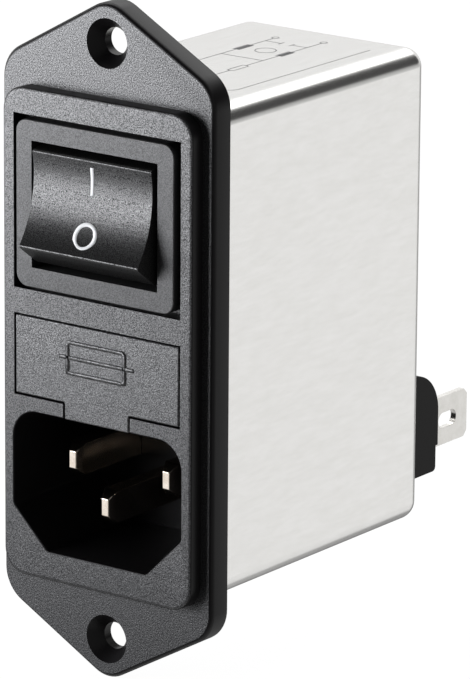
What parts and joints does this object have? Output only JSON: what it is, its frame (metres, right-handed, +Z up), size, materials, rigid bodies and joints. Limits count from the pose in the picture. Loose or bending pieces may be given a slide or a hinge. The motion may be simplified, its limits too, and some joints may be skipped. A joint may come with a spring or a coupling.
{
  "type": "power entry module",
  "caption": "Panel-mounted power entry module: recessed mains inlet, pull-out fuse drawer, rocker switch, screw flange and metal filter can with rear tabs.",
  "frame": {"origin": "centre of the flange's rear face, which lies against the panel, midway between the two panel screw holes", "axes": "+X right seen from the front, +Y back from the panel along the filter can, +Z up, from the inlet socket towards the switch"},
  "size_m": [0.0314, 0.0698, 0.0824],
  "materials": {
    "housing_plastic": "spark-eroded, fine grain",
    "bezel_plastic": "smooth satin",
    "black_plastic": "smooth",
    "base_plastic": "smooth",
    "can_steel": "satin, tin-plated",
    "nickel_plate": "nickel-plated",
    "tinned_brass": "tin-plated",
    "silver_contact": "silver-plated",
    "spring_bronze": "bright rolled",
    "spring_steel": "drawn",
    "fuse_glass": "clear",
    "ferrite": "ground, dull",
    "copper_wire": "enamelled",
    "board_laminate": "solder mask",
    "capacitor_case": "moulded box",
    "disc_coating": "dipped",
    "resistor_body": "lacquered"
  },
  "bodies": {
    "housing": {"front_housing": "housing_plastic", "line_pin": "nickel_plate", "neutral_pin": "nickel_plate", "earth_pin": "nickel_plate", "earth_strap": "tinned_brass", "switch_frame": "bezel_plastic", "switch_base": "base_plastic", "filter_can": "can_steel", "circuit_board": "board_laminate", "choke_core": "ferrite", "x_capacitor": "capacitor_case", "bleed_resistor": "resistor_body", "terminal_block": "black_plastic", "earth_tab": "tinned_brass", "line_front_contact": "spring_bronze", "line_rear_contact": "spring_bronze", "line_common_terminal": "tinned_brass", "line_output_terminal": "tinned_brass", "line_winding": "copper_wire", "line_y_capacitor": "disc_coating", "line_load_tab": "tinned_brass", "neutral_front_contact": "spring_bronze", "neutral_rear_contact": "spring_bronze", "neutral_common_terminal": "tinned_brass", "neutral_output_terminal": "tinned_brass", "neutral_winding": "copper_wire", "neutral_y_capacitor": "disc_coating", "neutral_load_tab": "tinned_brass"},
    "rocker": {"rocker": "housing_plastic", "line_plunger": "base_plastic", "neutral_plunger": "base_plastic", "line_plunger_spring": "spring_steel", "neutral_plunger_spring": "spring_steel"},
    "drawer": {"fuse_drawer": "housing_plastic", "line_fuse_tube": "fuse_glass", "line_fuse_caps": "nickel_plate", "line_fuse_wire": "silver_contact", "neutral_fuse_tube": "fuse_glass", "neutral_fuse_caps": "nickel_plate", "neutral_fuse_wire": "silver_contact"},
    "line_seesaw": {"line_seesaw": "silver_contact"},
    "neutral_seesaw": {"neutral_seesaw": "silver_contact"}
  },
  "joints": [
    {"name": "rocker_tilt", "type": "hinge", "parent": "housing", "child": "rocker", "pos_m": [0, -0.0022, 0.01622], "axis": [1, 0, 0], "range_deg": [0, 26]},
    {"name": "drawer_slide", "type": "slide", "parent": "housing", "child": "drawer", "axis": [0, -1, 0], "range_m": [0, 0.026]},
    {"name": "line_seesaw_tilt", "type": "hinge", "parent": "housing", "child": "line_seesaw", "pos_m": [-0.0045, 0.0048, 0.01622], "axis": [1, 0, 0], "range_deg": [-14, 0]},
    {"name": "neutral_seesaw_tilt", "type": "hinge", "parent": "housing", "child": "neutral_seesaw", "pos_m": [0.0045, 0.0048, 0.01622], "axis": [1, 0, 0], "range_deg": [-14, 0]}
  ],
  "couplings": [
    {"joint": "line_seesaw_tilt", "follows": "rocker_tilt", "ratio": -0.5384},
    {"joint": "neutral_seesaw_tilt", "follows": "rocker_tilt", "ratio": -0.5384}
  ]
}
